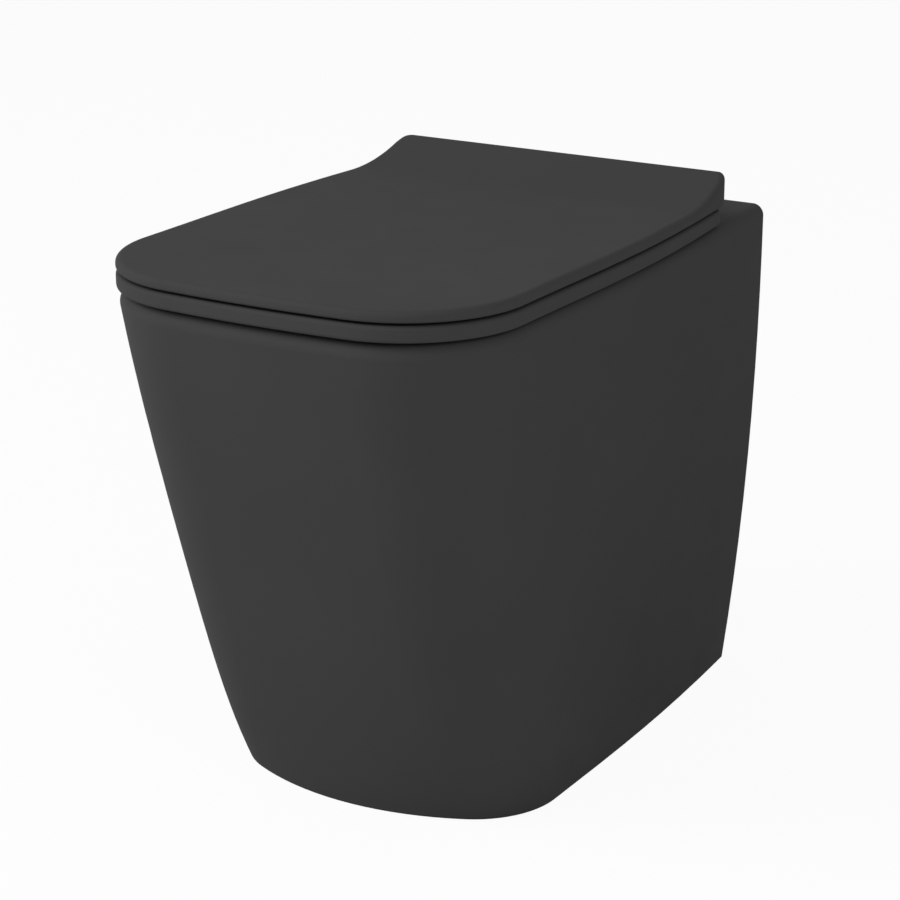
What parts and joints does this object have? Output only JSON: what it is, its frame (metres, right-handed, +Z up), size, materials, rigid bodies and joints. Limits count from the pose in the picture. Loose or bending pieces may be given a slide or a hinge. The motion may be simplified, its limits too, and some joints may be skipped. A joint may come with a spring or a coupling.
{
  "type": "back to wall toilet",
  "caption": "Floor-standing back-to-wall toilet pan in matte black, with a slim seat and a wrap-over cover on soft-close quick-release hinges, an open bowl, a trap and a rear outlet",
  "frame": {"origin": "middle of the footprint at floor level, on the centre line, half way between the wall plane and the front edge of the seat", "axes": "+Z up, +Y towards the wall, so the user stands at -Y, and +X to the right of a person who faces the wall"},
  "size_m": [0.3528, 0.561, 0.4788],
  "materials": {
    "pan_glaze": "matte charcoal black glaze",
    "seat_shell": "matte charcoal black moulded thermoset",
    "soft_rubber": "soft black rubber",
    "hinge_plastic": "black moulded hinge body",
    "damper_plastic": "pale acetal",
    "splitter_plastic": "black moulded plastic",
    "hinge_steel": "stainless steel",
    "nut_brass": "plain brass",
    "button_metal": "plated button"
  },
  "bodies": {
    "pan": {"pan": "pan_glaze", "flush_splitter": "splitter_plastic", "inlet_seal": "soft_rubber", "expansion_sleeves": "soft_rubber", "sleeve_nuts": "nut_brass", "base_pads": "soft_rubber", "base_plates": "hinge_steel", "hinge_studs": "hinge_steel", "hinge_block_left": "hinge_plastic", "hinge_block_right": "hinge_plastic", "cover_damper": "damper_plastic", "seat_damper": "damper_plastic", "pivot_pins": "hinge_steel", "button_springs": "hinge_steel"},
    "seat": {"seat_ring": "seat_shell", "seat_buffers": "soft_rubber", "seat_bush": "damper_plastic", "seat_damper_shaft": "hinge_steel"},
    "cover": {"cover": "seat_shell", "cover_buffers": "soft_rubber", "cover_bush": "damper_plastic", "cover_damper_shaft": "hinge_steel"},
    "button_left": {"release_button_left": "button_metal"},
    "button_right": {"release_button_right": "button_metal"}
  },
  "joints": [
    {"name": "seat_hinge", "type": "hinge", "parent": "pan", "child": "seat", "pos_m": [0, 0.1945, 0.4643], "axis": [-1, 0, 0], "range_deg": [0, 95]},
    {"name": "cover_hinge", "type": "hinge", "parent": "seat", "child": "cover", "pos_m": [0, 0.1945, 0.4643], "axis": [-1, 0, 0], "range_deg": [0, 95]},
    {"name": "left_release", "type": "slide", "parent": "pan", "child": "button_left", "axis": [0, 1, 0], "range_m": [0, 0.003], "stiffness_N_per_m": 600, "springref_m": -0.003},
    {"name": "right_release", "type": "slide", "parent": "pan", "child": "button_right", "axis": [0, 1, 0], "range_m": [0, 0.003], "stiffness_N_per_m": 600, "springref_m": -0.003}
  ]
}
